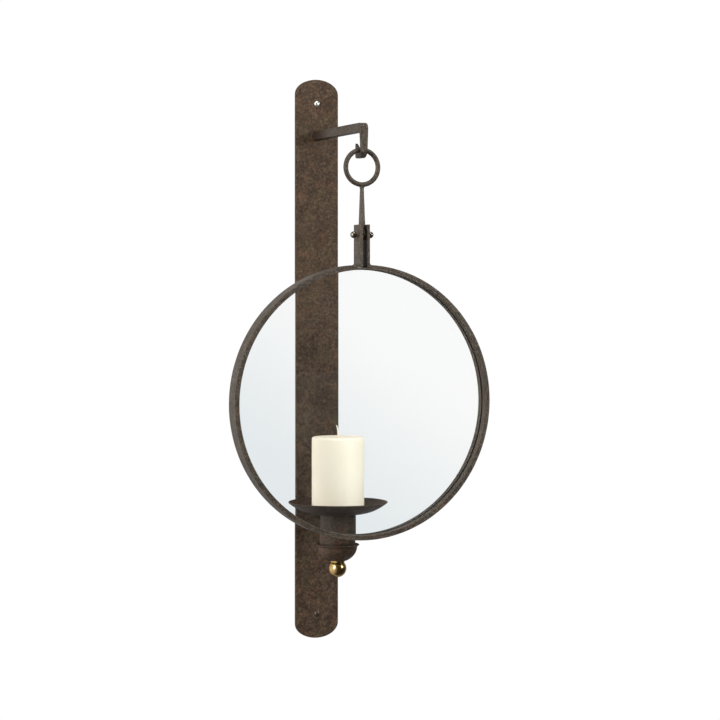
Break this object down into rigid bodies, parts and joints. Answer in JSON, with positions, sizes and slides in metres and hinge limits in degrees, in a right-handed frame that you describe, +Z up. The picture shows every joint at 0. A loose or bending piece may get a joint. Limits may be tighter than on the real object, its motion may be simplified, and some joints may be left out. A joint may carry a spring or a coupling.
{
  "type": "wall sconce candle holder",
  "caption": "Wall sconce: long arched plate, hooked arm carrying a glazed round hoop on a ring and clevis, and a candle pan on a tube with a brass ball finial.",
  "frame": {"origin": "centre of the wall plate's flat back face, which lies on the wall", "axes": "+Z up along the plate, +Y into the wall, -Y out towards the room"},
  "size_m": [0.356, 0.205, 0.762],
  "materials": {
    "rust_brown_plate": "mottled rusty brown, dry and finely rough",
    "rust_brown_holder": "mottled rusty brown, slightly smoother",
    "forged_iron": "grey-brown forged iron with rubbed edges",
    "hoop_iron": "dark grey-brown with rubbed edges",
    "screw_steel": "bright zinc",
    "dark_screw": "dark, painted with the plate",
    "gunmetal": "polished black",
    "antique_brass": "polished, toned with age",
    "clear_glass": "clear, polished",
    "ivory_wax": "ivory wax, satin",
    "cotton_wick": "waxed cotton"
  },
  "bodies": {
    "wall_frame": {"wall_plate": "rust_brown_plate", "upper_wall_screw": "screw_steel", "lower_wall_screw": "dark_screw", "hook_arm": "forged_iron", "candle_arm": "forged_iron", "socket_tube": "rust_brown_holder", "drip_pan": "rust_brown_holder", "base_cup": "rust_brown_holder", "pricket_rod": "dark_screw", "finial_nut": "antique_brass"},
    "hanger": {"hanging_ring": "forged_iron", "tapered_stem": "forged_iron"},
    "glass_hoop": {"hoop_strap": "hoop_iron", "front_glass_ring": "hoop_iron", "rear_glass_ring": "hoop_iron", "glass_disc": "clear_glass", "clevis_bolt": "gunmetal", "left_washer": "gunmetal", "right_washer": "gunmetal", "left_ball_nut": "gunmetal", "right_ball_nut": "gunmetal"},
    "candle": {"candle_wax": "ivory_wax", "candle_wick": "cotton_wick"}
  },
  "joints": [
    {"name": "ring_swing", "type": "hinge", "parent": "wall_frame", "child": "hanger", "pos_m": [0, -0.165, 0.2751], "axis": [-1, 0, 0], "range_deg": [-1, 55]},
    {"name": "hoop_tilt", "type": "hinge", "parent": "hanger", "child": "glass_hoop", "pos_m": [0, -0.165, 0.165], "axis": [-1, 0, 0], "range_deg": [-1, 30]},
    {"name": "candle_lift", "type": "slide", "parent": "wall_frame", "child": "candle", "axis": [0, 0, 1], "range_m": [0, 0.12]}
  ]
}
